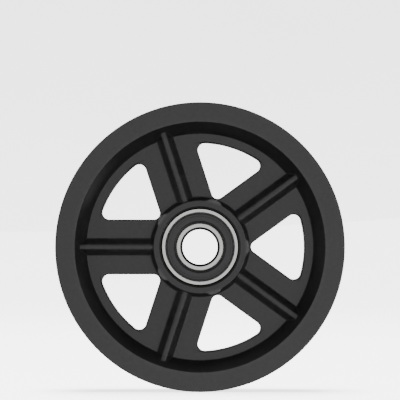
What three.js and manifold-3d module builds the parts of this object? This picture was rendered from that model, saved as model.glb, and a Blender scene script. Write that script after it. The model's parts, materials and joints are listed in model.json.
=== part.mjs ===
// A five-spoke grooved roller for a sliding barn door, with its sealed ball bearing.
// Millimetres. The axle runs along Y, the front face looks towards -Y, and +Z is up.
import * as THREE from 'three';
import { mergeVertices } from 'three/addons/utils/BufferGeometryUtils.js';
import Module from 'manifold-3d';

const wasm = await Module();
wasm.setup();

// ---- Driving dimensions: wheel ----
const wheelDiameter = 130;
const rimWidth = 22;            // over both flange faces
const rimFaceWidth = 8.8;       // flat ring on each flange face
const rimLean = 5;              // how far the dished wall comes in from flange face to web
const grooveDepth = 8;
const grooveRootWidth = 8;      // takes a 6 mm flat rail
const grooveDraft = 19;         // degrees, each wall of the groove
const grooveRootFillet = 1.2;
const edgeBreak = 0.5;          // chamfer on the flange edges and the hub edges
const spokeCount = 5;
const firstSpokeAngle = 180;    // degrees from +X towards +Z
const webThickness = 6;
const windowBand = 4;           // web left between a window and the dished wall
const windowTipFillet = 3;
const windowCornerFillet = 3.3;
const windowTipGap = 0.1;       // from the foot of the hub to the tip of a window
const hubWidth = 14;
const hubWall = 3.4;            // plastic round the bearing at the hub's face
const hubDraft = 1.3;           // how far the hub's side leans out from its face to its foot fillet
const hubFootFillet = 0.6;
const hubLobeWidth = 6.5;
const hubLobeReach = 1.3;       // past the hub's edge, towards each window
const ribTopWidth = 2.2;
const ribBaseWidth = 7.4;
const ribBelowHub = 0.9;        // drop from the hub's face to the rib's inner end
const ribBelowRim = 3.4;        // drop from the flange face to the rib's outer end

// ---- Driving dimensions: bearing ----
const boreDiameter = 15.875;    // 5/8 inch
const bearingDiameter = 34.925; // 1 3/8 inch
const bearingWidth = 11.1125;   // 7/16 inch
const ballDiameter = 4.7625;    // 3/16 inch
const ballCount = 10;
const boreChamfer = 0.8;        // clears the fillet of an axle's shoulder
const ringChamfer = 0.4;        // outside corners of the outer ring
const raceDepth = 0.9;          // how far each raceway sinks under its shoulder
const outerSealStep = 1.3;      // from the outer shoulder out to the seal's seat
const innerSealStep = 0.65;     // from the inner shoulder down to the land under the lip
const sealSetback = 0.25;       // seal face below the ring faces
const sealInsertThickness = 0.3;
const sealLipWidth = 1.3;       // width of the bevel down to the lip
const sealLipDepth = 0.6;       // depth of the same bevel
const cageThickness = 0.4;      // pressed steel strip
const cageWidth = 2.2;          // radial width of the strip
const rivetHeadThickness = 0.35;
const rivetShankShare = 0.5;    // shank diameter over head diameter

// ---- Clearances ----
const seatClearance = 0.05;     // bearing in the hub
const raceClearance = 0.12;     // ball to raceway
const pocketClearance = 0.17;   // ball to cage
const cageSplit = 0.06;         // between the two cage halves
const cageToSeat = 0.2;         // from the cage's crown to the level of the seal's seat
const sealSeatGap = 0.1;
const sealLipGap = 0.3;
const sealBondGap = 0.05;       // between the rubber and its steel insert
const rivetHeadGap = 0.25;
const rivetSeatGap = 0.05;
const rivetHoleGap = 0.1;

// ---- Fineness ----
const wheelSegments = 80;
const bearingSegments = 48;
const rivetSegments = 10;
const raceSteps = 6;
const filletSteps = 2;
const windowArcSteps = 3;
const pocketArcSteps = 4;

// ---- Worked-out sizes: bearing ----
const boreRadius = boreDiameter / 2;
const bearingRadius = bearingDiameter / 2;
const bearingHalf = bearingWidth / 2;
const ballRadius = ballDiameter / 2;
const pitchRadius = (boreRadius + bearingRadius) / 2;
const raceRadius = ballRadius + raceClearance;
const shoulderOffset = raceRadius - raceDepth;
const outerShoulder = pitchRadius + shoulderOffset;
const innerShoulder = pitchRadius - shoulderOffset;
const outerSeat = outerShoulder + outerSealStep;
const innerLand = innerShoulder - innerSealStep;
const pocketInner = ballRadius + pocketClearance;
const pocketOuter = pocketInner + cageThickness;
const sealSeat = cageSplit / 2 + pocketOuter + cageToSeat;
const innerShoulderHalf = sealSeat - cageToSeat;
const ballPitchAngle = 2 * Math.PI / ballCount;

// ---- Worked-out sizes: wheel ----
const wheelRadius = wheelDiameter / 2;
const rimHalf = rimWidth / 2;
const webHalf = webThickness / 2;
const hubHalf = hubWidth / 2;
const rimInner = wheelRadius - rimFaceWidth;
const webOuter = rimInner - rimLean;
const grooveRoot = wheelRadius - grooveDepth;
const hubSeat = bearingRadius + seatClearance;
const hubTop = bearingRadius + hubWall;
const hubFoot = hubTop + hubDraft + hubFootFillet;
const windowOuter = webOuter - windowBand;
const halfSpokeAngle = Math.PI / spokeCount;
const windowTip = hubFoot + windowTipGap;
// The two sides of a window run parallel to the spokes beside it and meet in the tip's fillet.
const spokeHalf = (windowTip + windowTipFillet) * Math.sin(halfSpokeAngle) - windowTipFillet;

const radians = (degrees) => degrees * Math.PI / 180;
const spokeAngle = (index) => radians(firstSpokeAngle) - index * 2 * halfSpokeAngle;
const windowAngle = (index) => spokeAngle(index) - halfSpokeAngle;

// ---- Shape helpers ----

// Ring or turned piece about Y; the [radius, y] outline is closed on itself.
function turned(outline, segments) {
  const points = outline.map(([radius, y]) => new THREE.Vector2(radius, y));
  points.push(points[0].clone());
  return new THREE.LatheGeometry(points, segments);
}

// Points of an arc in the [radius, y] plane, angles in degrees from the radius direction.
function arc(radius, y, size, from, to, steps) {
  const points = [];
  for (let step = 0; step <= steps; step += 1) {
    const angle = radians(from + (to - from) * step / steps);
    points.push([radius + size * Math.cos(angle), y + size * Math.sin(angle)]);
  }
  return points;
}

// The same outline on the other side of the middle plane, in turning order.
const mirrored = (outline) => outline.map(([radius, y]) => [radius, -y]).reverse();

// Plate of a shape drawn in X and Z, from y = -half to y = half.
function plate(shape, half) {
  const geometry = new THREE.ExtrudeGeometry(shape, {
    depth: 2 * half,
    bevelEnabled: false,
    curveSegments: windowArcSteps,
  });
  return geometry.rotateX(Math.PI / 2).translate(0, half, 0);
}

// Turns a shape that points along +X to an angle from +X towards +Z.
const aim = (geometry, angle) => geometry.rotateY(-angle);

function toSolid(geometry) {
  const bare = geometry.clone();
  bare.deleteAttribute('normal');
  bare.deleteAttribute('uv');
  const merged = mergeVertices(bare);
  return new wasm.Manifold(new wasm.Mesh({
    numProp: 3,
    vertProperties: new Float32Array(merged.attributes.position.array),
    triVerts: new Uint32Array(merged.index.array),
  }));
}

function toGeometry(solid) {
  const mesh = solid.getMesh();
  const geometry = new THREE.BufferGeometry();
  geometry.setAttribute('position', new THREE.BufferAttribute(mesh.vertProperties, 3));
  geometry.setIndex(new THREE.BufferAttribute(mesh.triVerts, 1));
  geometry.computeVertexNormals();
  return geometry;
}

// ---- Finishes ----
const nylon = () => new THREE.MeshStandardMaterial({ color: 0x3c3c3e, roughness: 0.55, metalness: 0 });
const groundSteel = () => new THREE.MeshStandardMaterial({ color: 0xc3c3c5, roughness: 0.3, metalness: 1 });
const ballSteel = () => new THREE.MeshStandardMaterial({ color: 0xd4d4d8, roughness: 0.08, metalness: 1 });
const pressedSteel = () => new THREE.MeshStandardMaterial({ color: 0xa8a6a0, roughness: 0.4, metalness: 1 });
const sealRubber = () => new THREE.MeshStandardMaterial({ color: 0x3a3a3c, roughness: 0.7, metalness: 0 });

const group = new THREE.Group();

function addPiece(name, geometry, material) {
  const mesh = new THREE.Mesh(geometry, material);
  mesh.name = name;
  group.add(mesh);
  return mesh;
}

// ---- Wheel: one nylon moulding ----

// Half section of the rim, from the groove's middle out over a flange and down to the web.
function rimHalfOutline() {
  const draft = radians(grooveDraft);
  const wallStart = grooveRootWidth / 2;
  const filletTurn = 90 - grooveDraft;
  const filletReach = grooveRootFillet * Math.tan(radians(filletTurn / 2));
  const root = arc(
    grooveRoot + grooveRootFillet,
    wallStart - filletReach,
    grooveRootFillet,
    180,
    180 - filletTurn,
    filletSteps,
  );
  const mouth = wallStart + grooveDepth * Math.tan(draft);
  return [
    ...root,
    [wheelRadius - edgeBreak, mouth - edgeBreak * Math.tan(draft)],
    [wheelRadius, mouth + edgeBreak],
    [wheelRadius, rimHalf - edgeBreak],
    [wheelRadius - edgeBreak, rimHalf],
    [rimInner, rimHalf],
    [webOuter, webHalf],
  ];
}

// Half section of the hub's outside, from its foot on the web up to its face.
function hubHalfOutline() {
  const sideHeight = hubHalf - webHalf - hubFootFillet;
  const lean = Math.atan(hubDraft / sideHeight) * 180 / Math.PI;
  const fillet = arc(hubFoot, webHalf + hubFootFillet, hubFootFillet, 270, 180 + lean, filletSteps);
  return [...fillet, [hubTop, hubHalf]];
}

// Inside of the hub, from the rear face to the front one: a shoulder behind the bearing,
// its seat, and the open mouth that it is pressed in through.
function hubInsideOutline() {
  const seatEnd = bearingHalf + seatClearance;
  return [
    [outerSeat + edgeBreak, hubHalf],
    [outerSeat + edgeBreak, seatEnd],
    [hubSeat, seatEnd],
    [hubSeat, -hubHalf + 2 * edgeBreak],
    [hubSeat + edgeBreak, -hubHalf],
  ];
}

// Window between two spokes, pointing along +X.
function windowShape() {
  const tipCentre = windowTip + windowTipFillet;
  const cornerRadius = windowOuter - windowCornerFillet;
  const cornerFromSpoke = Math.asin((spokeHalf + windowCornerFillet) / cornerRadius);
  const cornerAngle = halfSpokeAngle - cornerFromSpoke;
  const cornerX = cornerRadius * Math.cos(cornerAngle);
  const cornerZ = cornerRadius * Math.sin(cornerAngle);
  const across = halfSpokeAngle + Math.PI / 2;
  const shape = new THREE.Shape();
  shape.absarc(0, 0, windowOuter, -cornerAngle, cornerAngle, false);
  shape.absarc(cornerX, cornerZ, windowCornerFillet, cornerAngle, across, false);
  shape.absarc(tipCentre, 0, windowTipFillet, across, 2 * Math.PI - across, false);
  shape.absarc(cornerX, -cornerZ, windowCornerFillet, -across, -cornerAngle, false);
  return shape;
}

// Rib along +X on one side of the web, wide at its foot, drafted to its top.
function rib(side) {
  const innerEnd = hubSeat + hubWall / 2;
  const outerEnd = webOuter + rimLean;
  const ribRun = rimInner - hubTop;
  const innerTop = hubHalf - ribBelowHub;
  const outerTop = rimHalf - ribBelowRim;
  const geometry = new THREE.BoxGeometry(1, 1, 1);
  const position = geometry.attributes.position;
  for (let index = 0; index < position.count; index += 1) {
    const atTop = position.getY(index) > 0;
    const radius = position.getX(index) > 0 ? outerEnd : innerEnd;
    const rise = (outerTop - innerTop) * (radius - hubTop) / ribRun;
    const y = atTop ? innerTop + rise : 0;
    const width = ribBaseWidth + (ribTopWidth - ribBaseWidth) * (y - webHalf) / (innerTop + rise - webHalf);
    position.setXYZ(index, radius, y, Math.sign(position.getZ(index)) * width / 2);
  }
  // Both ribs of a spoke are the same shape: half a turn about the spoke's own line.
  return side < 0 ? geometry.rotateX(Math.PI) : geometry;
}

// Small flat-topped pad on the hub's edge, at the tip of each window.
function hubLobe() {
  const half = hubLobeWidth / 2;
  const tip = hubTop + hubLobeReach;
  const shape = new THREE.Shape();
  shape.moveTo(hubSeat + hubWall / 2, -half);
  shape.lineTo(tip - hubLobeReach, -half);
  shape.lineTo(tip, -half + hubLobeReach);
  shape.lineTo(tip, half - hubLobeReach);
  shape.lineTo(tip - hubLobeReach, half);
  shape.lineTo(hubSeat + hubWall / 2, half);
  return plate(shape, hubHalf - edgeBreak);
}

function wheelGeometry() {
  const rim = rimHalfOutline();
  const hub = hubHalfOutline();
  const outline = [
    ...mirrored(rim),
    ...rim,
    ...hub,
    ...hubInsideOutline(),
    ...mirrored(hub),
  ];
  let wheel = toSolid(turned(outline, wheelSegments));
  for (let index = 0; index < spokeCount; index += 1) {
    const opening = aim(plate(windowShape(), rimHalf), windowAngle(index));
    wheel = wheel.subtract(toSolid(opening));
    wheel = wheel.add(toSolid(aim(hubLobe(), windowAngle(index))));
    for (const side of [-1, 1]) {
      wheel = wheel.add(toSolid(aim(rib(side), spokeAngle(index))));
    }
  }
  return toGeometry(wheel);
}

addPiece('wheel', wheelGeometry(), nylon());

// ---- Bearing rings: turned and ground steel ----

// Degrees from the pitch circle's outward direction to the raceway's edge.
const raceEdge = Math.acos(shoulderOffset / raceRadius) * 180 / Math.PI;

function outerRing() {
  const side = [
    [outerShoulder, sealSeat],
    [outerSeat, sealSeat],
    [outerSeat, bearingHalf],
    [bearingRadius - ringChamfer, bearingHalf],
    [bearingRadius, bearingHalf - ringChamfer],
  ].reverse();
  const race = arc(pitchRadius, 0, raceRadius, raceEdge, -raceEdge, raceSteps);
  return turned([...mirrored(side), ...side, ...race], bearingSegments);
}

function innerRing() {
  const side = [
    [innerShoulder, innerShoulderHalf],
    [innerLand, innerShoulderHalf],
    [innerLand, bearingHalf],
    [boreRadius + boreChamfer, bearingHalf],
    [boreRadius, bearingHalf - boreChamfer],
  ];
  const race = arc(pitchRadius, 0, raceRadius, 180 + raceEdge, 180 - raceEdge, raceSteps);
  return turned([...mirrored(side), ...race, ...side], bearingSegments);
}

addPiece('bearing_outer_ring', outerRing(), groundSteel());
addPiece('bearing_inner_ring', innerRing(), groundSteel());

// ---- Balls ----
for (let index = 0; index < ballCount; index += 1) {
  const ball = addPiece(
    `bearing_ball_${String(index + 1).padStart(2, '0')}`,
    new THREE.IcosahedronGeometry(ballRadius, 2),
    ballSteel(),
  );
  const angle = index * ballPitchAngle;
  ball.position.set(pitchRadius * Math.sin(angle), 0, pitchRadius * Math.cos(angle));
  ball.rotation.y = angle;
}

// ---- Cage: two pressed halves, riveted between the balls ----
const cageInner = pitchRadius - cageWidth / 2;
const cageOuter = pitchRadius + cageWidth / 2;
const halfBallAngle = ballPitchAngle / 2;
const rivetHeadRadius = pitchRadius * Math.sin(halfBallAngle) - pocketOuter - rivetHeadGap;
const rivetShankRadius = rivetHeadRadius * rivetShankShare;

// Arch over one ball, drawn across the strip and run from its inner to its outer edge.
function cagePocket() {
  const foot = cageSplit / 2;
  const shape = new THREE.Shape();
  shape.absarc(0, foot, pocketOuter, 0, Math.PI, false);
  shape.absarc(0, foot, pocketInner, Math.PI, 0, true);
  const geometry = new THREE.ExtrudeGeometry(shape, {
    depth: cageWidth,
    bevelEnabled: false,
    curveSegments: pocketArcSteps,
  });
  return geometry.translate(0, 0, cageInner);
}

// Flat between two pockets; its sides follow the middle of the walls it joins.
function cageFlat() {
  const wallMiddle = (pocketInner + pocketOuter) / 2;
  const corner = (radius) => [
    radius * Math.sin(halfBallAngle) - wallMiddle * Math.cos(halfBallAngle),
    radius * Math.cos(halfBallAngle) + wallMiddle * Math.sin(halfBallAngle),
  ];
  const [innerX, innerZ] = corner(cageInner);
  const [outerX, outerZ] = corner(cageOuter);
  const shape = new THREE.Shape();
  shape.moveTo(-innerX, innerZ);
  shape.lineTo(innerX, innerZ);
  shape.lineTo(outerX, outerZ);
  shape.lineTo(-outerX, outerZ);
  return plate(shape, cageThickness / 2).translate(0, (cageSplit + cageThickness) / 2, 0);
}

function cageHalf() {
  let half = null;
  const holeRadius = rivetShankRadius + rivetHoleGap;
  for (let index = 0; index < ballCount; index += 1) {
    const angle = index * ballPitchAngle;
    const pocket = toSolid(cagePocket().rotateY(angle));
    half = half ? half.add(pocket) : pocket;
    half = half.add(toSolid(cageFlat().rotateY(angle + halfBallAngle)));
  }
  for (let index = 0; index < ballCount; index += 1) {
    const hole = new THREE.CylinderGeometry(holeRadius, holeRadius, 4 * pocketOuter, rivetSegments);
    hole.translate(0, 0, pitchRadius).rotateY(index * ballPitchAngle + halfBallAngle);
    half = half.subtract(toSolid(hole));
  }
  return toGeometry(half);
}

addPiece('cage_half_rear', cageHalf(), pressedSteel());
addPiece('cage_half_front', cageHalf().rotateZ(Math.PI), pressedSteel());

function rivet() {
  const underHead = cageSplit / 2 + cageThickness + rivetSeatGap;
  const top = underHead + rivetHeadThickness;
  const points = [
    [0, -top],
    [rivetHeadRadius, -top],
    [rivetHeadRadius, -underHead],
    [rivetShankRadius, -underHead],
    [rivetShankRadius, underHead],
    [rivetHeadRadius, underHead],
    [rivetHeadRadius, top],
    [0, top],
  ];
  return new THREE.LatheGeometry(points.map(([radius, y]) => new THREE.Vector2(radius, y)), rivetSegments);
}

for (let index = 0; index < ballCount; index += 1) {
  const piece = addPiece(
    `cage_rivet_${String(index + 1).padStart(2, '0')}`,
    rivet().translate(0, 0, pitchRadius),
    pressedSteel(),
  );
  piece.rotation.y = index * ballPitchAngle + halfBallAngle;
}

// ---- Seals: a rubber ring bonded to a steel washer, snapped into the outer ring ----
const insertInner = sealSeat + sealSeatGap;
const insertOuter = insertInner + sealInsertThickness;
const rubberInner = insertOuter + sealBondGap;
const rubberOuter = bearingHalf - sealSetback;
const lipRadius = innerLand + sealLipGap;
const sealOuterRadius = outerSeat - sealSeatGap;

function sealInsert() {
  const innerRadius = lipRadius + sealLipWidth / 2;
  return turned([
    [innerRadius, insertInner],
    [sealOuterRadius - sealSeatGap, insertInner],
    [sealOuterRadius - sealSeatGap, insertOuter],
    [innerRadius, insertOuter],
  ], bearingSegments);
}

function sealRing() {
  return turned([
    [lipRadius, rubberInner],
    [sealOuterRadius, rubberInner],
    [sealOuterRadius, (rubberInner + rubberOuter) / 2],
    [outerShoulder, rubberOuter],
    [lipRadius + sealLipWidth, rubberOuter],
    [lipRadius, rubberOuter - sealLipDepth],
  ], bearingSegments);
}

addPiece('seal_insert_rear', sealInsert(), pressedSteel());
addPiece('seal_rear', sealRing(), sealRubber());
addPiece('seal_insert_front', sealInsert().rotateZ(Math.PI), pressedSteel());
addPiece('seal_front', sealRing().rotateZ(Math.PI), sealRubber());

export default group;
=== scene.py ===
"""A grooved sliding-door roller with its sealed ball bearing, built up from the bearing out.

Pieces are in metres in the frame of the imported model: the axle runs along Y, the front face
looks towards -Y, and +Z is up. Sizes are named in millimetres and made metres by MM.
"""
import json
import math

import bmesh
import bpy
import numpy as np
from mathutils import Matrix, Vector


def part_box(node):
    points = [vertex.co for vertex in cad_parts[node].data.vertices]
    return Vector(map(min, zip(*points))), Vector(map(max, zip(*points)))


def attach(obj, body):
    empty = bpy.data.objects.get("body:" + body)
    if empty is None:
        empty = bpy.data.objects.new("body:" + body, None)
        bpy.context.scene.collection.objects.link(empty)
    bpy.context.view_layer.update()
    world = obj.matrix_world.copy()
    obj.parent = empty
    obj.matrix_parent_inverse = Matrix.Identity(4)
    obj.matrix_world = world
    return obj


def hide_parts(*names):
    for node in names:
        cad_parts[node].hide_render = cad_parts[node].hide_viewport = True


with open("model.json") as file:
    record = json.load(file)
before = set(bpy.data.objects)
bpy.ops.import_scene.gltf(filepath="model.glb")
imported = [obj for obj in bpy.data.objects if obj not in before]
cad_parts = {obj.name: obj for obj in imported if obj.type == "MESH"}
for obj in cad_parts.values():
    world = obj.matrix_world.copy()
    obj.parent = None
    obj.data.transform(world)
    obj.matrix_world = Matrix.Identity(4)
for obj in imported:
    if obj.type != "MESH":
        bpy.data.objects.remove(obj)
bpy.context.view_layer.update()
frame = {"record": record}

MM = 0.001

# ---- The view ----
# Square on to the wheel's front face from its own axle line, through a long lens.
# The camera tips up a little, so the wheel stands low in the picture.
lens = 200.0
sensor_width = 36.0
wheel_share = 0.725          # of the picture's width
centre_drop = 0.1173         # of the picture's height, under its middle
wheel_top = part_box("wheel")[1]
view_distance = lens / sensor_width * 2 * wheel_top.z / wheel_share
camera = bpy.data.objects.new("camera", bpy.data.cameras.new("camera"))
camera.data.lens = lens
camera.data.sensor_width = sensor_width
camera.data.clip_end = 50
camera.location = (0, -wheel_top.y - view_distance, 0)
camera.rotation_euler = (math.pi / 2 + math.atan(centre_drop * sensor_width / lens), 0, 0)
bpy.context.scene.collection.objects.link(camera)
bpy.context.scene.camera = camera


# ---- Bearing inner ring ----
# Hardened bearing steel, turned, then ground on its bore, faces and raceway. It is held still
# on the axle. The step at each side is the land that the lip of a seal runs on.

def round_corners(corners, steps=5, hold=0.06):
    """Outline with its corners rounded; a corner is (radius, y) or (radius, y, rounding)."""
    points = []
    for index, corner in enumerate(corners):
        here = Vector(corner[:2])
        rounding = corner[2] if len(corner) > 2 else 0
        if not rounding:
            points.append(here)
            continue
        back = (Vector(corners[index - 1][:2]) - here).normalized()
        ahead = (Vector(corners[(index + 1) % len(corners)][:2]) - here).normalized()
        half_angle = back.angle(ahead) / 2
        reach = rounding / math.tan(half_angle)
        centre = here + (back + ahead).normalized() * rounding / math.sin(half_angle)
        first = here + back * reach - centre
        last = here + ahead * reach - centre
        points.append(here + back * (reach + hold))
        for step in range(steps + 1):
            points.append(centre + first.slerp(last, step / steps) * rounding)
        points.append(here + ahead * (reach + hold))
    return [(point.x, point.y) for point in points]


def arc(radius, y, size, start, end, steps):
    """Points of an arc in the (radius, y) plane; angles in degrees from the radius direction."""
    angles = [math.radians(start + (end - start) * step / steps) for step in range(steps + 1)]
    return [(radius + size * math.cos(a), y + size * math.sin(a)) for a in angles]


def new_piece(name, points, faces, material):
    """Mesh object in the frame from points in millimetres, welded, smooth, facing outwards."""
    mesh = bpy.data.meshes.new(name)
    mesh.from_pydata([Vector(point) * MM for point in points], [], faces)
    mesh.materials.append(material)
    piece = bpy.data.objects.new(name, mesh)
    bpy.context.scene.collection.objects.link(piece)
    tidy_mesh(piece)
    return piece


def tidy_mesh(piece, sharp_over=35):
    """Welds the seams, turns every face outwards and shades smoothly up to an angle."""
    shape = bmesh.new()
    shape.from_mesh(piece.data)
    bmesh.ops.remove_doubles(shape, verts=shape.verts, dist=0.0005 * MM)
    loose = [edge for edge in shape.edges if not edge.link_faces]
    bmesh.ops.delete(shape, geom=loose, context="EDGES")
    bmesh.ops.recalc_face_normals(shape, faces=shape.faces)
    shape.to_mesh(piece.data)
    shape.free()
    piece.data.shade_smooth()
    piece.data.set_sharp_from_angle(angle=math.radians(sharp_over))


def turned(name, outline, material, steps=240):
    """Closed (radius, y) outline in millimetres, turned all the way round the axle."""
    points = []
    faces = []
    count = len(outline)
    for step in range(steps):
        angle = 2 * math.pi * step / steps
        points += [(r * math.sin(angle), y, r * math.cos(angle)) for r, y in outline]
        this = step * count
        following = (step + 1) % steps * count
        for index in range(count):
            beside = (index + 1) % count
            faces.append((this + index, this + beside, following + beside, following + index))
    return new_piece(name, points, faces, material)


def node(tree, kind, inputs=None, **settings):
    """Adds a node; an input is given a value, or an output socket to link it to."""
    made = tree.nodes.new(kind)
    for key, value in settings.items():
        setattr(made, key, value)
    for key, value in (inputs or {}).items():
        if isinstance(value, bpy.types.NodeSocket):
            tree.links.new(value, made.inputs[key])
        else:
            made.inputs[key].default_value = value
    return made


def maths(tree, operation, first, second=0.0):
    return node(tree, "ShaderNodeMath", {0: first, 1: second}, operation=operation).outputs[0]


def ramp(tree, factor, low, high, start=0.3, end=0.7):
    """Colour between two linear colours as a noise goes from start to end."""
    made = node(tree, "ShaderNodeValToRGB", {"Fac": factor})
    made.color_ramp.elements[0].position = start
    made.color_ramp.elements[0].color = (*low, 1)
    made.color_ramp.elements[1].position = end
    made.color_ramp.elements[1].color = (*high, 1)
    return made.outputs["Color"]


def spread(tree, value, low, high):
    """A noise's middle range turned into a range of values."""
    inputs = {"Value": value, "From Min": 0.3, "From Max": 0.7, "To Min": low, "To Max": high}
    return node(tree, "ShaderNodeMapRange", inputs).outputs["Result"]


def noise(tree, vector, scale, detail=3.0):
    inputs = {"Vector": vector, "Scale": scale, "Detail": detail}
    return node(tree, "ShaderNodeTexNoise", inputs).outputs["Fac"]


def turning_marks(tree, radial, around, along):
    """Object coordinates bent round the axle: patterns on them run in circles, as tool marks do."""
    place = node(tree, "ShaderNodeTexCoord").outputs["Object"]
    parts = node(tree, "ShaderNodeSeparateXYZ", {"Vector": place}).outputs
    flat = node(tree, "ShaderNodeCombineXYZ", {"X": parts["X"], "Z": parts["Z"]})
    length = node(tree, "ShaderNodeVectorMath", {0: flat.outputs[0]}, operation="LENGTH")
    angle = maths(tree, "ARCTAN2", parts["X"], parts["Z"])
    return node(tree, "ShaderNodeCombineXYZ", {
        "X": maths(tree, "MULTIPLY", length.outputs["Value"], radial),
        "Y": maths(tree, "MULTIPLY", angle, around),
        "Z": maths(tree, "MULTIPLY", parts["Y"], along),
    }).outputs[0]


def new_finish(name, metallic, ior=1.5):
    """Material with its tree and shader; sockets that are the same all over are set here."""
    material = bpy.data.materials.new(name)
    material.use_nodes = True
    shader = material.node_tree.nodes["Principled BSDF"]
    shader.inputs["Metallic"].default_value = metallic
    shader.inputs["IOR"].default_value = ior
    return material, material.node_tree, shader


def set_surface(tree, shader, colour, roughness, height, strength, depth):
    """Links colour and roughness, and a height map whose full swing is depth millimetres."""
    bump = node(tree, "ShaderNodeBump", {
        "Height": height, "Strength": strength, "Distance": depth * MM,
    })
    tree.links.new(colour, shader.inputs["Base Color"])
    tree.links.new(roughness, shader.inputs["Roughness"])
    tree.links.new(bump.outputs["Normal"], shader.inputs["Normal"])


def ground_steel():
    """Faces and bore ground in fine circles; the corners and chamfers carry painted shade, a
    near-black colour.

    A corner is where the surface leans between facing along the axle, 1, and across it, 0.
    """
    corner_lean = 0.66
    corner_reach = 0.22
    corner_fade = 0.06
    material, tree, shader = new_finish("ground_ring_steel", 1.0)
    lines = noise(tree, turning_marks(tree, 9000, 2.0, 9000), 1.0, 4.0)
    haze = noise(tree, node(tree, "ShaderNodeTexCoord").outputs["Object"], 260, 4.0)
    normal = node(tree, "ShaderNodeNewGeometry").outputs["True Normal"]
    facing = maths(tree, "ABSOLUTE", node(tree, "ShaderNodeSeparateXYZ", {0: normal}).outputs["Y"])
    leaning = node(tree, "ShaderNodeMapRange", {
        "Value": maths(tree, "ABSOLUTE", maths(tree, "SUBTRACT", facing, corner_lean)),
        "From Min": corner_reach, "From Max": corner_reach + corner_fade,
        "To Min": 1.0, "To Max": 0.0,
    }).outputs["Result"]
    # Painted shade: where the surface leans at a corner or chamfer, the colour goes near black.
    bright = ramp(tree, lines, (0.40, 0.398, 0.388), (0.54, 0.538, 0.526))
    colour = node(tree, "ShaderNodeMix", {
        "Factor": leaning, 6: bright, 7: (0.045, 0.044, 0.045, 1),
    }, data_type="RGBA").outputs[2]
    roughness = maths(tree, "ADD", spread(tree, lines, 0.20, 0.30), spread(tree, haze, 0.0, 0.08))
    roughness = maths(tree, "ADD", roughness, maths(tree, "MULTIPLY", leaning, 0.2))
    set_surface(tree, shader, colour, roughness, lines, 0.5, 0.004)
    return material


def reach(cad_node):
    """How far a CAD node reaches out from the axle, and along it from the middle, in millimetres."""
    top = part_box(cad_node)[1]
    return round(top.z / MM, 5), round(top.y / MM, 5)


axle_bore = next(mount for mount in frame["record"]["mounts"] if mount["name"] == "axle_bore")
bore_radius = axle_bore["dims"]["r_mm"]
ring_half = axle_bore["dims"]["length_mm"] / 2
bearing_radius = reach("bearing_outer_ring")[0]
inch = 25.4
ball_radius = 3 / 16 * inch / 2
pitch_radius = (bore_radius + bearing_radius) / 2
race_radius = 2.5
bore_chamfer = 0.95
bore_chamfer_length = 1.2 * bore_chamfer
inner_shoulder = 11.1
shoulder_half = 2.98
inner_land = 10.42
land_start = ring_half - 0.55
lip_groove = 10.15
lip_groove_mouth = 10.4
lip_groove_start = shoulder_half + 0.3
lip_groove_end = ring_half - 0.85

race_edge = math.degrees(math.acos((pitch_radius - inner_shoulder) / race_radius))
inner_side = [
    (inner_shoulder, shoulder_half, 0.12),
    (lip_groove_mouth, shoulder_half, 0.1),
    (lip_groove, lip_groove_start, 0.1),
    (lip_groove, lip_groove_end, 0.1),
    (inner_land, land_start, 0.1),
    (inner_land, ring_half, 0.1),
    (bore_radius + bore_chamfer, ring_half, 0.05),
    (bore_radius, ring_half - bore_chamfer_length, 0.06),
]
inner_outline = round_corners(
    [(radius, -y, size) for radius, y, size in reversed(inner_side)]
    + arc(pitch_radius, 0, race_radius, 180 + race_edge, 180 - race_edge, 24)
    + inner_side
)
ring_steel = ground_steel()
inner_ring = turned("inner_ring", inner_outline, ring_steel)
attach(inner_ring, "axle_ring")
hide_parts("bearing_inner_ring")


# ---- Balls ----
# Ten lapped and polished steel balls, 3/16 inch. Each one rolls between the two raceways in
# its own pocket of the cage, so each is a piece of its own.

def ring_of_copies():
    """Geometry Nodes tree: copies of a mesh round the axle, welded where they meet."""
    tree = bpy.data.node_groups.new("ring_of_copies", "GeometryNodeTree")
    face = tree.interface
    face.new_socket("Piece", in_out="INPUT", socket_type="NodeSocketGeometry")
    face.new_socket("Copies", in_out="INPUT", socket_type="NodeSocketInt")
    face.new_socket("First Angle", in_out="INPUT", socket_type="NodeSocketFloat")
    face.new_socket("Ring Radius", in_out="INPUT", socket_type="NodeSocketFloat")
    face.new_socket("Weld Distance", in_out="INPUT", socket_type="NodeSocketFloat")
    face.new_socket("Finish", in_out="INPUT", socket_type="NodeSocketMaterial")
    face.new_socket("Ring", in_out="OUTPUT", socket_type="NodeSocketGeometry")
    given = tree.nodes.new("NodeGroupInput").outputs
    step = maths(tree, "DIVIDE", 2 * math.pi, given["Copies"])
    index = node(tree, "GeometryNodeInputIndex").outputs[0]
    angle = maths(tree, "ADD", maths(tree, "MULTIPLY", index, step), given["First Angle"])
    place = node(tree, "ShaderNodeCombineXYZ", {
        "X": maths(tree, "MULTIPLY", maths(tree, "SINE", angle), given["Ring Radius"]),
        "Z": maths(tree, "MULTIPLY", maths(tree, "COSINE", angle), given["Ring Radius"]),
    })
    points = node(tree, "GeometryNodePoints", {
        "Count": given["Copies"], "Position": place.outputs[0],
    })
    euler = node(tree, "ShaderNodeCombineXYZ", {"Y": angle})
    turn = node(tree, "FunctionNodeEulerToRotation", {"Euler": euler.outputs[0]})
    copies = node(tree, "GeometryNodeInstanceOnPoints", {
        "Points": points.outputs[0], "Instance": given["Piece"], "Rotation": turn.outputs[0],
    })
    solid = node(tree, "GeometryNodeRealizeInstances", {"Geometry": copies.outputs[0]})
    welded = node(tree, "GeometryNodeMergeByDistance", {
        "Geometry": solid.outputs[0], "Distance": given["Weld Distance"],
    })
    finished = node(tree, "GeometryNodeSetMaterial", {
        "Geometry": welded.outputs[0], "Material": given["Finish"],
    })
    result = tree.nodes.new("NodeGroupOutput")
    tree.links.new(finished.outputs[0], result.inputs["Ring"])
    return tree


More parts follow.
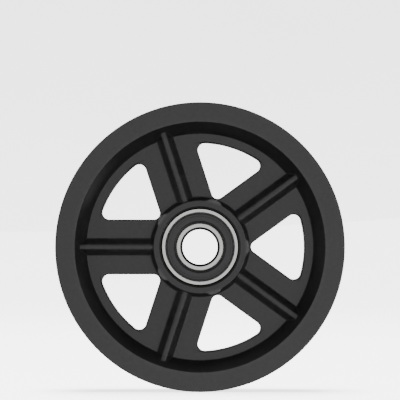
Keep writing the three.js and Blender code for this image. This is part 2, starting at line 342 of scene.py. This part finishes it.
def settle(piece):
    """Replaces a piece's mesh with what its modifiers make of it, and removes them."""
    graph = bpy.context.evaluated_depsgraph_get()
    made = bpy.data.meshes.new_from_object(piece.evaluated_get(graph))
    piece.modifiers.clear()
    piece.data = made


def repeat(piece, copies, first_angle=0.0, ring_radius=0.0, weld=0.002, sharp_over=35):
    """Runs a piece's mesh through the ring of copies; sizes in millimetres and degrees."""
    modifier = piece.modifiers.new("ring", "NODES")
    modifier.node_group = copies_tree
    values = {
        "Copies": copies,
        "First Angle": math.radians(first_angle),
        "Ring Radius": ring_radius * MM,
        "Weld Distance": weld * MM,
        "Finish": piece.data.materials[0],
    }
    for item in copies_tree.interface.items_tree:
        if item.name in values:
            modifier[item.identifier] = values[item.name]
    settle(piece)
    tidy_mesh(piece, sharp_over)
    return piece


def ball_mesh(name, material):
    """Sphere at the origin, in metres, fine enough to roll smoothly."""
    shape = bmesh.new()
    bmesh.ops.create_icosphere(shape, subdivisions=5, radius=ball_radius * MM)
    mesh = bpy.data.meshes.new(name)
    shape.to_mesh(mesh)
    shape.free()
    mesh.materials.append(material)
    ball = bpy.data.objects.new(name, mesh)
    bpy.context.scene.collection.objects.link(ball)
    return ball


def polished_steel():
    """Lapped ball steel: nearly a mirror, with faint random lapping marks."""
    material, tree, shader = new_finish("polished_ball_steel", 1.0)
    place = node(tree, "ShaderNodeTexCoord").outputs["Object"]
    cloud = noise(tree, place, 900, 4.0)
    marks = noise(tree, place, 9000, 2.0)
    colour = ramp(tree, cloud, (0.60, 0.60, 0.61), (0.70, 0.70, 0.71))
    set_surface(tree, shader, colour, spread(tree, cloud, 0.05, 0.10), marks, 0.25, 0.001)
    return material


copies_tree = ring_of_copies()
ball_steel = polished_steel()
ball_count = 10
for number in range(ball_count):
    ball = ball_mesh(f"ball_{number + 1:02d}", ball_steel)
    repeat(ball, 1, 360 * number / ball_count, pitch_radius)
    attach(ball, f"ball_{number + 1:02d}")
    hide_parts(f"bearing_ball_{number + 1:02d}")


# ---- Cage halves ----
# Two rings pressed from thin steel strip, with a round pocket over each ball and a flat between
# pockets. The flats of the two halves lie against each other and are riveted.

def smooth_max(first, second, blend):
    """The larger value, with the corner between the two rounded over the blend's height."""
    overlap = max(blend - abs(first - second), 0) / blend
    return max(first, second) + overlap * overlap * blend / 4


def pressed_steel():
    """Low-carbon strip: rolled grain, dull bloom from tumbling."""
    material, tree, shader = new_finish("pressed_steel", 1.0)
    place = node(tree, "ShaderNodeTexCoord").outputs["Object"]
    grain = noise(tree, turning_marks(tree, 5200, 14.0, 5200), 1.0, 4.0)
    bloom = noise(tree, place, 700, 5.0)
    colour = ramp(tree, bloom, (0.36, 0.35, 0.335), (0.50, 0.49, 0.47))
    set_surface(tree, shader, colour, spread(tree, grain, 0.30, 0.46), grain, 0.6, 0.006)
    return material


strip_thickness = 0.4
strip_width = 2.2
pocket_clearance = 0.17
half_split = 0.03
pocket_radius = ball_radius + pocket_clearance + strip_thickness / 2
flat_height = half_split + strip_thickness / 2
pocket_blend = 0.3
strip_rows = 10
strip_columns = 72


def cage_link(name, side, material):
    """Middle surface of one pocket with half a flat on each side of it."""
    points = []
    faces = []
    half_angle = math.pi / ball_count
    for row in range(strip_rows + 1):
        radius = pitch_radius + strip_width * (row / strip_rows - 0.5)
        for column in range(strip_columns + 1):
            angle = half_angle * (2 * column / strip_columns - 1)
            x = radius * math.sin(angle)
            z = radius * math.cos(angle)
            from_ball = math.hypot(x, z - pitch_radius)
            dome = math.sqrt(max(pocket_radius ** 2 - from_ball ** 2, 0))
            points.append((x, side * smooth_max(dome, flat_height, pocket_blend), z))
    across = strip_columns + 1
    for row in range(strip_rows):
        for column in range(strip_columns):
            corner = row * across + column
            faces.append((corner, corner + 1, corner + 1 + across, corner + across))
    return new_piece(name, points, faces, material)


strip_steel = pressed_steel()
for place_name, side in (("rear", 1), ("front", -1)):
    half = cage_link(f"cage_{place_name}", side, strip_steel)
    repeat(half, ball_count)
    thicken = half.modifiers.new("strip", "SOLIDIFY")
    thicken.thickness = strip_thickness * MM
    thicken.offset = 0
    settle(half)
    tidy_mesh(half)
    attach(half, "cage")
    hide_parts(f"cage_half_{place_name}")


# ---- Cage rivets ----
# Ten small rivets of the same steel, one through each pair of flats, with a pressed round head at
# each end. They all turn with the cage, so they are one piece.

rivet_head = 0.8
rivet_shank = 0.4
head_gap = 0.03
head_thickness = 0.36
head_seat = flat_height + strip_thickness / 2 + head_gap
head_top = head_seat + head_thickness
rivet_outline = round_corners([
    (0, -head_top),
    (rivet_head, -head_top, 0.25),
    (rivet_head, -head_seat, 0.05),
    (rivet_shank, -head_seat),
    (rivet_shank, head_seat),
    (rivet_head, head_seat, 0.05),
    (rivet_head, head_top, 0.25),
    (0, head_top),
], hold=0.02)
rivets = turned("cage_rivets", rivet_outline, strip_steel, steps=32)
repeat(rivets, ball_count, 180 / ball_count, pitch_radius)
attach(rivets, "cage")
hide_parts(*[f"cage_rivet_{number + 1:02d}" for number in range(ball_count)])


# ---- Bearing outer ring ----
# The same ground steel as the inner ring, pressed into the hub. Just inside each face it has
# a seat and a shallow groove that a seal snaps into.

outer_shoulder = 14.3
outer_corner = 0.42
seal_seat_radius = 15.65
seal_seat_y = 3.18
snap_groove = seal_seat_radius + 0.15
snap_groove_start = 3.5
snap_groove_end = ring_half - 0.7
seal_mouth = ring_half - 0.5
outer_side = [
    (bearing_radius, ring_half - outer_corner, 0.1),
    (bearing_radius - outer_corner, ring_half, 0.1),
    (seal_seat_radius, ring_half, 0.12),
    (seal_seat_radius, seal_mouth, 0.08),
    (snap_groove, snap_groove_end, 0.08),
    (snap_groove, snap_groove_start, 0.08),
    (seal_seat_radius, seal_seat_y, 0.08),
    (outer_shoulder, seal_seat_y, 0.12),
]
outer_outline = round_corners(
    outer_side
    + arc(pitch_radius, 0, race_radius, race_edge, -race_edge, 24)
    + [(radius, -y, size) for radius, y, size in reversed(outer_side)]
)
outer_ring = turned("outer_ring", outer_outline, ring_steel)
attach(outer_ring, "roller")
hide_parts("bearing_outer_ring")


# ---- Seals ----
# A moulded rubber ring on each side, stiffened by a thin pressed washer bonded to its back. The
# bead round its edge snaps into the outer ring; its lip runs on the inner ring's land.

def seal_rubber():
    """Satin black nitrile, with the faint circles left by a turned mould."""
    material, tree, shader = new_finish("seal_rubber", 0.0, 1.52)
    place = node(tree, "ShaderNodeTexCoord").outputs["Object"]
    circles = noise(tree, turning_marks(tree, 2600, 0.6, 2600), 1.0, 3.0)
    bloom = noise(tree, place, 420, 5.0)
    colour = ramp(tree, bloom, (0.013, 0.013, 0.014), (0.024, 0.024, 0.025))
    set_surface(tree, shader, colour, spread(tree, bloom, 0.38, 0.48), circles, 0.5, 0.012)
    return material


rubber = seal_rubber()
washer_low = 3.28
washer_high = 3.58
washer_hole = 11.4
washer_edge = 15.4
washer_corners = [
    (washer_hole, washer_low, 0.05),
    (washer_edge, washer_low, 0.12),
    (washer_edge, washer_high, 0.05),
    (washer_hole, washer_high, 0.05),
]
rubber_low = 3.63
rubber_high = ring_half - 0.25
rubber_edge = 15.5
bead_low = 3.85
bead_high = rubber_high - 0.6
channel_floor = rubber_high - 0.8
channel_outer = 15.3
channel_inner = 14.92
face_outer = 14.78
face_inner = 11.8
face_groove_middle = 13.9
face_groove_floor = rubber_high - 0.05
lip_root = 11.35
lip_neck = 11.05
lip_edge = 10.62
back_inner = 10.9
rubber_corners = [
    (back_inner, rubber_low, 0.05),
    (rubber_edge - 0.2, rubber_low, 0.1),
    (rubber_edge, bead_low, 0.12),
    (rubber_edge, bead_high, 0.05),
    (channel_outer, channel_floor, 0.05),
    (channel_inner, channel_floor, 0.08),
    (face_outer, rubber_high, 0.1),
    (face_groove_middle + 0.2, rubber_high, 0.05),
    (face_groove_middle + 0.1, face_groove_floor, 0.05),
    (face_groove_middle - 0.1, face_groove_floor, 0.05),
    (face_groove_middle - 0.2, rubber_high, 0.05),
    (face_inner, rubber_high, 0.3),
    (lip_root, rubber_high - 0.33, 0.2),
    (lip_neck, rubber_high - 0.45, 0.08),
    (lip_edge, rubber_high - 0.73, 0.05),
    (lip_edge, rubber_high - 0.85, 0.05),
]
for place_name, side in (("rear", 1), ("front", -1)):
    washer_outline = [(r, side * y) for r, y in round_corners(washer_corners, 3, 0.02)]
    washer = turned(f"seal_washer_{place_name}", washer_outline, strip_steel)
    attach(washer, "roller")
    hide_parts(f"seal_insert_{place_name}")
    rubber_outline = [(r, side * y) for r, y in round_corners(rubber_corners, 4, 0.02)]
    seal = turned(f"rubber_seal_{place_name}", rubber_outline, rubber)
    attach(seal, "roller")
    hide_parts(f"seal_{place_name}")


# ---- Wheel ----
# One moulding in black nylon: a flanged rim with a groove for the rail, dished walls, a flat web
# with five windows, a rib down each spoke on both sides, and the hub that holds the bearing.
# It is made as one spoke's share, a fifth of the wheel, and repeated round the axle.

def black_nylon():
    """Mould grain and flow clouding; turned rings on rim and hub; painted wall shade and edge
    highlights.
    """
    painted_wall_shade = 0.6
    rim_ringing = 0.35
    hub_ringing = 0.6
    material, tree, shader = new_finish("black_nylon", 0.0, 1.53)
    place = node(tree, "ShaderNodeTexCoord").outputs["Object"]
    grain = noise(tree, place, 1500, 5.0)
    cloud = noise(tree, place, 70, 4.0)
    mottle = noise(tree, place, 420, 3.0)
    rings = noise(tree, turning_marks(tree, 1500, 0.8, 1500), 1.0, 3.0)
    parts = node(tree, "ShaderNodeSeparateXYZ", {"Vector": place}).outputs
    flat = node(tree, "ShaderNodeCombineXYZ", {"X": parts["X"], "Z": parts["Z"]}).outputs[0]
    radius = node(tree, "ShaderNodeVectorMath", {0: flat}, operation="LENGTH").outputs["Value"]
    on_rim = node(tree, "ShaderNodeMapRange", {
        "Value": radius, "From Min": (rim_inner - 0.6) * MM, "From Max": (rim_inner + 0.4) * MM,
    }).outputs["Result"]
    on_hub = node(tree, "ShaderNodeMapRange", {
        "Value": radius, "From Min": (hub_top - 0.6) * MM, "From Max": hub_top * MM,
        "To Min": 1.0, "To Max": 0.0,
    }).outputs["Result"]
    # Painted shade: the dished walls between the web and the rim are darkened towards near black.
    from_wall = maths(tree, "SUBTRACT", radius, (web_outer + rim_inner) / 2 * MM)
    wall_half = (rim_inner - web_outer) / 2
    wall_shade_mask = node(tree, "ShaderNodeMapRange", {
        "Value": maths(tree, "ABSOLUTE", from_wall),
        "From Min": (wall_half - 0.3) * MM, "From Max": (wall_half + 0.2) * MM,
        "To Min": painted_wall_shade, "To Max": 0.0,
    }).outputs["Result"]
    # Painted highlight: an edge attribute, broken up by the mottle, lightens the colour along the
    # wheel's edges.
    highlight_amount = node(tree, "ShaderNodeAttribute", attribute_name="painted_edge_highlight").outputs["Fac"]
    painted_highlight = maths(tree, "MULTIPLY", highlight_amount, spread(tree, mottle, 0.5, 1.0))
    half_cloud = maths(tree, "MULTIPLY", cloud, 0.5)
    half_mottle = maths(tree, "MULTIPLY", mottle, 0.5)
    blend = maths(tree, "ADD", half_cloud, half_mottle)
    base = ramp(tree, blend, (0.0100, 0.0100, 0.0103), (0.0230, 0.0230, 0.0235), 0.36, 0.64)
    shaded = node(tree, "ShaderNodeMix", {
        "Factor": wall_shade_mask, 6: base, 7: (0.003, 0.003, 0.003, 1),
    }, data_type="RGBA").outputs[2]
    colour = node(tree, "ShaderNodeMix", {
        "Factor": painted_highlight, 6: shaded, 7: (0.085, 0.085, 0.086, 1),
    }, data_type="RGBA").outputs[2]
    roughness = maths(tree, "ADD", spread(tree, blend, 0.40, 0.50), spread(tree, grain, -0.02, 0.04))
    roughness = maths(tree, "SUBTRACT", roughness, maths(tree, "MULTIPLY", on_rim, 0.05))
    rim_rings = maths(tree, "MULTIPLY", on_rim, rim_ringing)
    hub_rings = maths(tree, "MULTIPLY", on_hub, hub_ringing)
    ringed = maths(tree, "MULTIPLY", rings, maths(tree, "ADD", rim_rings, hub_rings))
    height = maths(tree, "ADD", maths(tree, "MULTIPLY", grain, 0.65), ringed)
    set_surface(tree, shader, colour, roughness, height, 0.6, 0.045)
    return material


rim_radius, rim_half = reach("wheel")
rim_face = 8.8
rim_inner = rim_radius - rim_face
rim_rounding = 0.5
wall_lean = 5.0
web_outer = rim_inner - wall_lean
web_half = 3.0
web_fillet = 0.5
hub_half = 7.0
hub_top = 20.9
hub_foot_corner = 22.43
hub_foot_fillet = 0.6
hub_mouth = 18.1
mouth_start = 5.9
seat_gap = 0.06
seat_radius = bearing_radius + seat_gap
shoulder_radius = 16.1
edge_rounding = 0.35
groove_depth = 8.0
groove_root = rim_radius - groove_depth
groove_root_half = 4.0
groove_root_fillet = 1.2
groove_mouth_half = 6.755
seam_height = 0.12
seam_half = 0.06
seam_foot_half = 0.2

spokes = 5
half_sector = math.pi / spokes
window_tip = 22.9
window_outer = 47.2
tip_fillet = 3.0
corner_fillet = 3.3
window_rounding = 0.45
window_draft = 0.12
parting_ridge = 0.08
parting_half = 0.15
spoke_half = (window_tip + tip_fillet) * math.sin(half_sector) - tip_fillet

rib_top_half = 1.0
rib_foot_half = 3.7
rib_inner_height = 6.1
rib_outer_height = 7.6
rib_crown = 0.12
rib_edge_blend = 0.45
rib_foot_blend = 0.5
rib_zone = 4.6
rib_columns = [0, 0.5, 0.8, 0.95, 1.1, 1.25, 1.45, 1.8, 2.3, 2.8, 3.2, 3.45, 3.6, 3.75, 3.95, 4.25]
side_columns = 17

lobe_half = 4.3
lobe_corner = 2.6
lobe_start = 19.9
lobe_reach = 22.08
lobe_foot = 22.36

# Where the rows that end round a window cross the spoke's middle line.
tip_row = 24.4
corner_row = 41.2
side_row = 45.4


def refined(points, spacing):
    """Adds points along the stretches of a profile that are longer than the spacing."""
    result = [points[0]]
    for (r0, y0), (r1, y1) in zip(points, points[1:]):
        parts = max(1, math.ceil(math.hypot(r1 - r0, y1 - y0) / spacing))
        for part in range(1, parts + 1):
            share = part / parts
            result.append((r0 + (r1 - r0) * share, y0 + (y1 - y0) * share))
    return result


def side_profile(inner_radius):
    """Height of one side of the wheel over its radius, from the hub's mouth to the rim's edge."""
    return round_corners([
        (inner_radius, hub_half - edge_rounding),
        (inner_radius + edge_rounding / 2, hub_half, 0.15),
        (hub_top, hub_half, edge_rounding),
        (hub_foot_corner, web_half, hub_foot_fillet),
        (web_outer, web_half, web_fillet),
        (rim_inner, rim_half, edge_rounding),
        (rim_radius, rim_half, rim_rounding),
        (rim_radius, rim_half - 2 * rim_rounding),
    ], 5, 0.25)[1:-1]


def rib_height(along, across):
    """Height of the rib over a point of the spoke: a crowned top and two drafted sides."""
    rise = (rib_outer_height - rib_inner_height) / (rim_inner - hub_top)
    top = rib_inner_height + rise * (along - hub_top)
    slope = (top - web_half) / (rib_foot_half - rib_top_half)
    flank = web_half + slope * (rib_foot_half - across)
    crown = min(rib_crown * (across / rib_top_half) ** 2, 0.5)
    return -smooth_max(crown - top, -flank, rib_edge_blend)


def lobe_share(point):
    """How far a plan point takes part in the lobe that the hub's edge has at a window's tip."""
    across = point.length * math.sin(half_sector - abs(math.atan2(point.y, point.x)))
    share = min(max((lobe_half - across) / lobe_corner, 0), 1)
    return share * share * (3 - 2 * share)


def with_lobe(point):
    """Moves a point of the hub's edge outwards where the lobe is."""
    radius = point.length
    from_radii = [lobe_start, hub_top, hub_foot_corner]
    target = float(np.interp(radius, from_radii, [lobe_start, lobe_reach, lobe_foot]))
    if not lobe_start < radius < hub_foot_corner:
        return point
    return point * (1 + lobe_share(point) * (target / radius - 1))


def surface_height(u, v, base):
    """Height over the web's middle plane, with the rib standing on the base."""
    return smooth_max(base, rib_height(u, abs(v)), rib_foot_blend)


def window_edge():
    """Points round half a window, from its tip to the middle of its outer side.

    Each is (point on the rounded edge's outer line, direction into the window, spoke radius).
    """
    tip_x = (window_tip + tip_fillet) * math.cos(half_sector)
    tip_z = (window_tip + tip_fillet) * math.sin(half_sector)
    corner_radius = window_outer - corner_fillet
    corner_angle = math.asin((spoke_half + corner_fillet) / corner_radius)
    corner_x = corner_radius * math.cos(corner_angle)
    corner_z = corner_radius * math.sin(corner_angle)
    grown_tip = tip_fillet + window_rounding
    grown_corner = corner_fillet + window_rounding
    edge = []

    def bend(x, z, size, start, end, steps, first_radius, last_radius, inwards):
        for step in range(steps):
            share = step / steps
            angle = start + (end - start) * share
            out = Vector((math.cos(angle), math.sin(angle)))
            radius = first_radius + (last_radius - first_radius) * share
            edge.append((Vector((x, z)) + out * size, out * inwards, radius))

    inner_radius = window_tip - window_rounding
    outer_radius = window_outer + window_rounding
    down = -math.pi / 2
    bend(tip_x, tip_z, grown_tip, half_sector - math.pi, down, 6, inner_radius, tip_row, -1)
    straight_steps = 9
    for step in range(straight_steps):
        share = step / straight_steps
        x = tip_x + (corner_x - tip_x) * share
        point = Vector((x, spoke_half - window_rounding))
        edge.append((point, Vector((0, 1)), tip_row + (corner_row - tip_row) * share))
    bend(corner_x, corner_z, grown_corner, down, corner_angle, 9, corner_row, side_row, -1)
    bend(0, 0, outer_radius, corner_angle, half_sector, 6, side_row, outer_radius, -1)
    out = Vector((math.cos(half_sector), math.sin(half_sector)))
    edge.append((out * outer_radius, -out, outer_radius))
    return edge


def row_points(radius, end):
    """Plan points of one row, from the spoke's middle line round to the row's end."""
    points = [Vector((math.sqrt(radius ** 2 - v ** 2), v)) for v in rib_columns + [rib_zone]]
    start = points[-1]
    start_angle = math.atan2(start.y, start.x)
    end_angle = math.atan2(end.y, end.x)
    for column in range(1, side_columns + 1):
        share = column / side_columns
        angle = start_angle + (end_angle - start_angle) * share
        distance = radius + (end.length - radius) * share
        points.append(Vector((math.cos(angle), math.sin(angle))) * distance)
    return points


def at_angle(radius):
    """Plan points of a plain arc right across half a sector."""
    out = Vector((math.cos(half_sector), math.sin(half_sector)))
    return row_points(radius, out * radius)


def side_grid(profile, sign):
    """Rows of points over one side of half a sector, and the rows of the window's wall."""
    radii = [r for r, y in profile]
    heights = [y for r, y in profile]
    edge = window_edge()
    inner_radius = edge[0][2]
    outer_radius = edge[-1][2]
    rows = []
    walls = []
    before = [(r, y) for r, y in profile if r < inner_radius - 0.05]
    after = [(r, y) for r, y in profile if r > outer_radius + 0.3]
    for radius, base in before:
        row = [with_lobe(p) for p in at_angle(radius)]
        rows.append([(p.x, sign * surface_height(p.x, p.y, base), p.y) for p in row])
    for end, inwards, radius in edge:
        row = []
        for p in row_points(radius, end):
            base = float(np.interp(p.length, radii, heights))
            row.append((p.x, sign * surface_height(p.x, p.y, base), p.y))
        rows.append(row)
        top = abs(row[-1][1])
        wall = [row[-1]]
        for degrees in (30, 60, 90):
            turn = math.radians(degrees)
            p = end + inwards * window_rounding * math.sin(turn)
            wall.append((p.x, sign * (top - window_rounding * (1 - math.cos(turn))), p.y))
        below_rounding = (
            (0.02, top - window_rounding - 0.35),
            (window_draft, parting_half),
            (window_draft + parting_ridge, 0.0),
        )
        for step_in, height in below_rounding:
            p = end + inwards * (window_rounding + step_in)
            wall.append((p.x, sign * height, p.y))
        walls.append(wall)
    for radius, base in after:
        rows.append([(p.x, sign * surface_height(p.x, p.y, base), p.y) for p in at_angle(radius)])
    return rows, walls


def round_grid(outline, first_radius, last_radius):
    """Rows of a turned surface that share their columns with the rows at its two ends."""
    first = [math.atan2(p.y, p.x) for p in at_angle(first_radius)]
    last = [math.atan2(p.y, p.x) for p in at_angle(last_radius)]
    rows = []
    for index, (radius, y) in enumerate(outline):
        share = index / (len(outline) - 1)
        angles = [a + (b - a) * share for a, b in zip(first, last)]
        rows.append([(radius * math.cos(a), y, radius * math.sin(a)) for a in angles])
    return rows


def wheel_sector(name, material):
    """A fifth of the wheel round the spoke along +X, open where the next fifth joins it."""
    fine = 0.5
    coarse = 1.7
    coarse_from = rim_inner + 0.6
    front = [p for p in refined(side_profile(hub_mouth), fine) if p[0] < coarse_from]
    rear = [p for p in refined(side_profile(shoulder_radius), fine) if p[0] < coarse_from]
    flange = [p for p in refined(side_profile(hub_mouth), coarse) if p[0] >= coarse_from]
    front += flange
    rear += flange
    groove_half = round_corners([
        (rim_radius, front[-1][1]),
        (rim_radius, groove_mouth_half, rim_rounding),
        (groove_root, groove_root_half, groove_root_fillet),
        (groove_root, seam_foot_half),
    ], 5, 0.2)
    groove_spacing = 1.8
    groove_half = refined(groove_half, groove_spacing)
    mirrored = [(r, -y) for r, y in reversed(groove_half)]
    seam_top = groove_root + seam_height
    seam = [(seam_top, seam_half), (seam_top, -seam_half)]
    groove = groove_half + seam + mirrored
    inside = round_corners([
        (front[0][0], -front[0][1]),
        (seat_radius, -mouth_start, 0.2),
        (seat_radius, ring_half + seat_gap, 0.05),
        (shoulder_radius, ring_half + seat_gap, 0.2),
        (rear[0][0], rear[0][1]),
    ], 4, 0.1)
    front_rows, front_walls = side_grid(front, -1)
    rear_rows, rear_walls = side_grid(rear, 1)
    grids = [
        front_rows,
        front_walls,
        rear_rows,
        rear_walls,
        round_grid(groove, rim_radius, rim_radius),
        round_grid(inside, front[0][0], rear[0][0]),
    ]
    points = []
    faces = []
    for grid in grids:
        for flip in (1, -1):
            start = len(points)
            across = len(grid[0])
            for row in grid:
                points += [(x, y, flip * z) for x, y, z in row]
            for row in range(len(grid) - 1):
                for column in range(across - 1):
                    corner = start + row * across + column
                    faces.append((corner, corner + 1, corner + 1 + across, corner + across))
    return new_piece(name, points, faces, material)


def highlight_band(distance, edge, width, strength):
    """Painted highlight that is strongest on an edge and dies away over a width on both sides of it.
    """
    return strength * np.exp(-((distance - edge) / width) ** 2)


def mark_edge_highlights(piece):
    """Point attribute that is 1 on the edges where a highlight is painted."""
    count = len(piece.data.vertices)
    flat = np.empty(count * 3)
    piece.data.vertices.foreach_get("co", flat)
    x, y, z = flat.reshape(-1, 3).T / MM
    radius = np.hypot(x, z)
    height = np.abs(y)
    sector = 2 * half_sector
    from_spoke = (np.arctan2(z, x) - math.pi + half_sector) % sector - half_sector
    across_spoke = np.abs(radius * np.sin(from_spoke))
    across_window = np.abs(radius * np.sin(half_sector - np.abs(from_spoke)))
    on_spoke = (radius > hub_foot_corner) & (radius < web_outer + 2)
    on_rib_top = (height > rib_inner_height - 0.9) & on_spoke
    on_lobe_top = (across_window < lobe_half - lobe_corner * 0.6) & (height > hub_half - 0.8)
    on_hub_face = height > hub_half - 0.5
    on_flange = height > rim_half - 0.6
    on_flange_corner = height > rim_half - 0.7
    # Painted highlights: bands of lighter colour on the rib tops, lobe tops, hub edge and the rim's
    # inner and outer edges.
    rib_edge = highlight_band(across_spoke, rib_top_half, 0.30, 0.35) * on_rib_top
    lobe_edge = highlight_band(radius, lobe_reach - 0.58, 0.5, 1.0) * on_lobe_top
    hub_edge = highlight_band(radius, hub_top, 0.25, 0.3) * on_hub_face
    rim_edge = highlight_band(radius, rim_inner + 0.2, 0.25, 0.25) * on_flange
    outer_edge = highlight_band(radius, rim_radius, 0.35, 0.5) * on_flange_corner
    highlight_amount = np.clip(rib_edge + lobe_edge + hub_edge + rim_edge + outer_edge, 0, 1)
    piece.data.attributes.new("painted_edge_highlight", "FLOAT", "POINT").data.foreach_set("value", highlight_amount)


wheel = wheel_sector("nylon_wheel", black_nylon())
repeat(wheel, spokes, 180, sharp_over=60)
# Painted highlights along the wheel's edges are stored on its points.
mark_edge_highlights(wheel)
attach(wheel, "roller")
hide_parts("wheel")


# ---- Studio ----
# A seamless white sweep with a glow of its own, the same from every side. It is kept out of the
# wheel's reflections and bounced light: those come from the soft lights and the dim sky alone.
# The floor light falls on the sweep only, and gives it the wheel's faint shadow.

def sweep_paint():
    """Matt pale acrylic with its own even glow and a hardly visible cloudiness."""
    material, tree, shader = new_finish("studio_sweep", 0.0)
    place = node(tree, "ShaderNodeTexCoord").outputs["Object"]
    cloud = noise(tree, place, 3, 3.0)
    stipple = noise(tree, place, 900, 2.0)
    colour = ramp(tree, cloud, (0.80, 0.80, 0.80), (0.83, 0.83, 0.83))
    set_surface(tree, shader, colour, spread(tree, cloud, 0.85, 0.95), stipple, 0.05, 0.05)
    tree.links.new(colour, shader.inputs["Emission Color"])
    shader.inputs["Emission Strength"].default_value = 3.0
    return material


floor_level = -rim_radius
floor_radius = 1300.0
sweep_bend = 2600.0
wall_height = 3200.0
sweep_outline = [(0, floor_level), (floor_radius, floor_level)]
sweep_outline += arc(floor_radius, floor_level + sweep_bend, sweep_bend, -88, 0, 44)
sweep_outline += [(floor_radius + sweep_bend, floor_level + wall_height)]


def sweep(name, outline, material, steps=96):
    """Open bowl about the upright axis, from (radius, height) points in millimetres."""
    points = []
    faces = []
    count = len(outline)
    for step in range(steps):
        angle = 2 * math.pi * step / steps
        points += [(r * math.cos(angle), r * math.sin(angle), z) for r, z in outline]
        for index in range(count - 1):
            this = step * count + index
            beside = (step + 1) % steps * count + index
            faces.append((this, this + 1, beside + 1, beside))
    return new_piece(name, points, faces, material)


bowl = sweep("studio_sweep", sweep_outline, sweep_paint())
bowl.visible_diffuse = False
bowl.visible_glossy = False
bowl.visible_shadow = False


def soft_light(name, place, width, height, radiance):
    """Rectangular soft light at a place, turned to face the wheel; lengths in metres."""
    data = bpy.data.lights.new(name, "AREA")
    data.shape = "RECTANGLE"
    data.size = width
    data.size_y = height
    data.energy = radiance * math.pi * width * height
    lamp = bpy.data.objects.new(name, data)
    lamp.location = place
    lamp.rotation_euler = (-Vector(place)).to_track_quat("-Z", "Y").to_euler()
    lamp.visible_camera = False
    bpy.context.scene.collection.objects.link(lamp)
    return lamp


soft_light("front_light", (0.25, -1.9, -0.20), 2.0, 2.0, 1.30)
soft_light("low_right_light", (1.35, -1.3, -0.75), 0.6, 0.6, 5.5)
soft_light("left_front_light", (-1.5, -1.3, -0.2), 0.9, 1.4, 1.1)
soft_light("rear_light", (-0.25, 1.9, 0.30), 2.0, 2.0, 1.3)
soft_light("rear_side_light", (1.5, 1.3, -0.4), 0.9, 1.4, 1.3)
soft_light("left_light", (-2.3, 0, 0.1), 0.7, 1.4, 1.4)
soft_light("right_light", (2.3, 0, 0.1), 0.7, 1.4, 1.4)
soft_light("top_light", (0, 0, 2.3), 2.0, 0.24, 6.0)

floor_light = soft_light("floor_light", (0, 0.1, 2.0), 0.9, 0.9, 70.0)
lit_by_floor_light = bpy.data.collections.new("lit_by_floor_light")
lit_by_floor_light.objects.link(bowl)
floor_light.light_linking.receiver_collection = lit_by_floor_light

sky = bpy.data.worlds.new("studio_sky")
sky.use_nodes = True
sky.node_tree.nodes["Background"].inputs["Color"].default_value = (1, 1, 1, 1)
sky.node_tree.nodes["Background"].inputs["Strength"].default_value = 0.25
bpy.context.scene.world = sky
